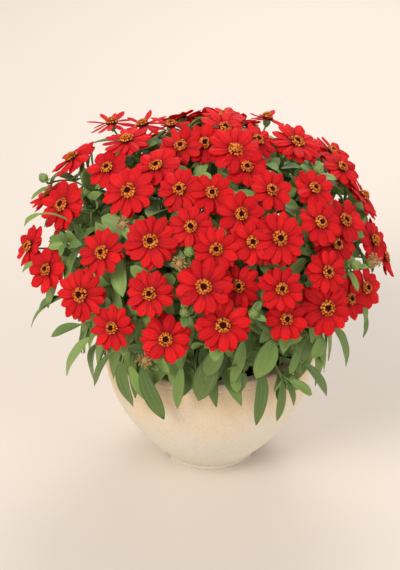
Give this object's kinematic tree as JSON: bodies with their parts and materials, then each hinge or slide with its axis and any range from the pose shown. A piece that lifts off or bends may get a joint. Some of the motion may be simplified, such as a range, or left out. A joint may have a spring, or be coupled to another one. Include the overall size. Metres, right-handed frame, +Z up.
{
  "type": "potted zinnia",
  "caption": "Potted zinnia: a dense dome of red single blooms over leafy stems, rooted in soil in a round cream bowl planter.",
  "frame": {"origin": "middle of the planter's foot ring, on the plane that it rests on", "axes": "+Z up through the middle of the planter, -Y towards the front that the picture shows, +X to the right seen from the front"},
  "size_m": [0.4381, 0.4164, 0.4417],
  "materials": {
    "pot": "matt, fine sandy cast stone",
    "soil": "matt, damp potting soil",
    "foliage": "soft matt leaf",
    "petal": "velvety matt petal"
  },
  "bodies": {
    "root": {"pot": "pot", "soil": "soil", "plant_1": "foliage", "plant_2": "foliage", "plant_3": "foliage", "bloom_02": "petal", "bloom_03": "petal", "bloom_05": "petal", "bloom_06": "petal", "bloom_07": "petal", "bloom_09": "petal", "bloom_13": "petal", "bloom_15": "petal", "bloom_16": "petal", "bloom_17": "petal", "bloom_18": "petal", "bloom_19": "petal", "bloom_20": "petal", "bloom_21": "petal", "bloom_22": "petal", "bloom_23": "petal", "bloom_24": "petal", "bloom_25": "petal", "bloom_27": "petal", "bloom_30": "petal", "bloom_31": "petal", "bloom_32": "petal", "bloom_33": "petal", "bloom_35": "petal", "bloom_36": "petal", "bloom_37": "petal", "bloom_38": "petal", "bloom_39": "petal", "bloom_40": "petal", "bloom_41": "petal", "bloom_group_01": "petal", "bloom_group_04": "petal", "bloom_group_08": "petal", "bloom_group_10": "petal", "bloom_group_11": "petal", "bloom_group_12": "petal", "bloom_group_14": "petal", "bloom_group_26": "petal", "bloom_group_28": "petal", "bloom_group_29": "petal", "bloom_group_34": "petal", "bloom_group_42": "petal", "bloom_group_43": "petal", "bloom_group_44": "petal", "bloom_group_45": "petal", "bloom_group_46": "petal", "bloom_group_47": "petal", "bloom_group_48": "petal", "bloom_group_49": "petal", "bloom_group_50": "petal", "bloom_group_51": "petal", "bloom_group_52": "petal", "bloom_group_53": "petal", "bloom_group_54": "petal", "bloom_group_55": "petal"}
  },
  "joints": []
}
